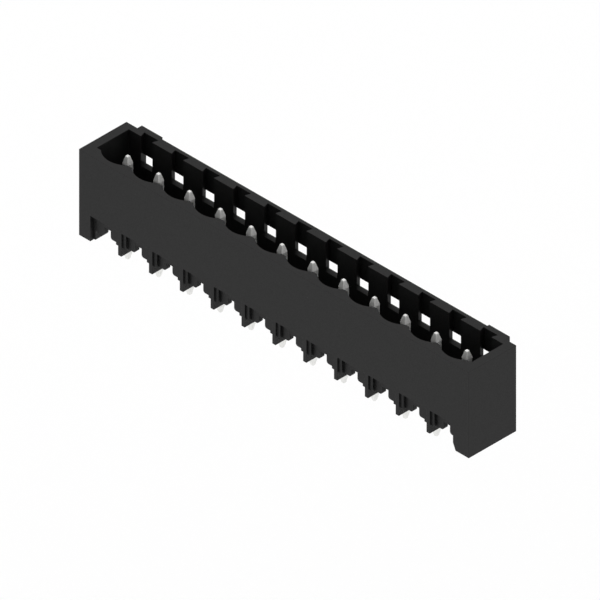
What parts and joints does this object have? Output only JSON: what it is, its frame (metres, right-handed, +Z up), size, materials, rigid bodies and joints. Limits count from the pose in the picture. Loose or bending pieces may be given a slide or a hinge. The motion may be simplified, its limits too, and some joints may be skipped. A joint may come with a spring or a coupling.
{
  "type": "pcb plug connector",
  "caption": "Long moulded pin header for a circuit board, open at the top for a cable plug, with slots and windows in its rear wall and straight solder tails below.",
  "frame": {"origin": "on the board's surface, at the middle of the row of contact pins", "axes": "+X along the row, to the right as seen from the smooth front wall; +Y towards the slotted rear wall; +Z up from the board, the way the cable plug leaves"},
  "size_m": [0.0642, 0.0086, 0.0154],
  "materials": {
    "housing": "dark grey moulded plastic, matt",
    "contacts": "copper alloy with matt tin plating"
  },
  "bodies": {
    "root": {"housing": "housing", "contact_pin_01": "contacts", "contact_pin_02": "contacts", "contact_pin_03": "contacts", "contact_pin_04": "contacts", "contact_pin_05": "contacts", "contact_pin_06": "contacts", "contact_pin_07": "contacts", "contact_pin_08": "contacts", "contact_pin_09": "contacts", "contact_pin_10": "contacts", "contact_pin_11": "contacts", "contact_pin_12": "contacts"}
  },
  "joints": []
}
